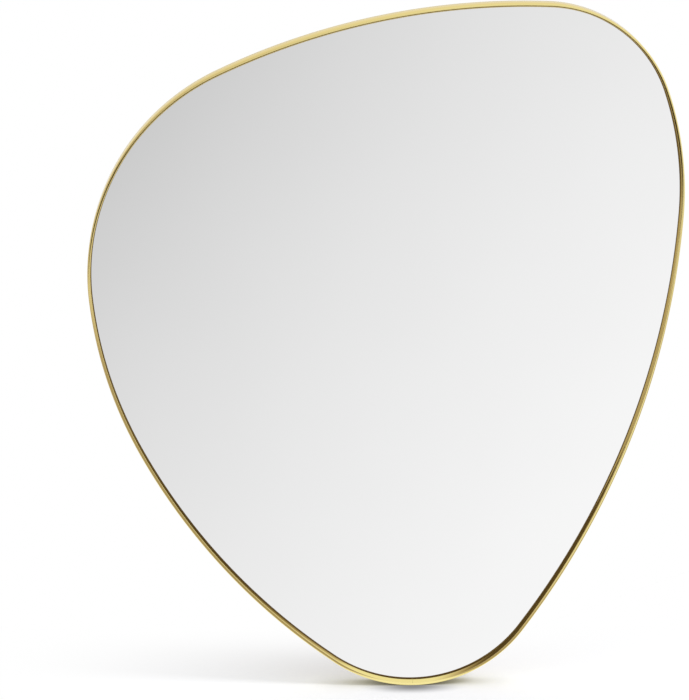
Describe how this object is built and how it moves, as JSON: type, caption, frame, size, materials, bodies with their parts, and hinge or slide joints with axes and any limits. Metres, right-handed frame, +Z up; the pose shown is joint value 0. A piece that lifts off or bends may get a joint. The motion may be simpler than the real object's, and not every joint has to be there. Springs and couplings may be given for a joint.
{
  "type": "framed mirror",
  "caption": "Wall mirror with a rounded, lopsided pebble outline in a slim brass-tone metal frame, hung by hinged D-rings on its back.",
  "frame": {"origin": "on the wall plane, midway between the two hook points where the raised rings bear", "axes": "+X to the viewer's right, +Y into the wall, +Z up; the glass faces -Y"},
  "size_m": [0.7617, 0.033, 0.8986],
  "materials": {
    "brass_tone_aluminium": "brushed along its length, brass-tone anodised",
    "silvered_glass": "polished float glass, silvered behind",
    "black_tape": "matt foam tape",
    "white_film": "smooth plastic film",
    "white_foam": "closed-cell foam sheet",
    "fibreboard": "raw medium-density fibreboard",
    "spring_steel": "cold-rolled, lightly blued",
    "zinc_plated_steel": "bright zinc plate",
    "grey_rubber": "matt moulded rubber"
  },
  "bodies": {
    "panel": {"frame_rim": "brass_tone_aluminium", "glazing_tape": "black_tape", "mirror_glass": "silvered_glass", "safety_film": "white_film", "cushion_sheet": "white_foam", "backing_board": "fibreboard", "joint_plate": "zinc_plated_steel", "joint_screws": "zinc_plated_steel", "hanger_screws": "zinc_plated_steel", "hanger_nuts": "zinc_plated_steel", "hanger_strap_left": "zinc_plated_steel", "hanger_strap_right": "zinc_plated_steel", "spring_clip_1": "spring_steel", "spring_clip_2": "spring_steel", "spring_clip_3": "spring_steel", "spring_clip_4": "spring_steel", "spring_clip_5": "spring_steel", "spring_clip_6": "spring_steel", "spring_clip_7": "spring_steel", "spring_clip_8": "spring_steel", "wall_bumper_1": "grey_rubber", "wall_bumper_2": "grey_rubber", "wall_bumper_3": "grey_rubber", "wall_bumper_4": "grey_rubber"},
    "left_ring": {"hanger_ring_left": "zinc_plated_steel"},
    "right_ring": {"hanger_ring_right": "zinc_plated_steel"}
  },
  "joints": [
    {"name": "left_ring_swing", "type": "hinge", "parent": "panel", "child": "left_ring", "pos_m": [-0.2, -0.00874, -0.0205], "axis": [1, 0, 0], "range_deg": [0, 180]},
    {"name": "right_ring_swing", "type": "hinge", "parent": "panel", "child": "right_ring", "pos_m": [0.2, -0.00874, -0.0205], "axis": [1, 0, 0], "range_deg": [0, 180]}
  ]
}
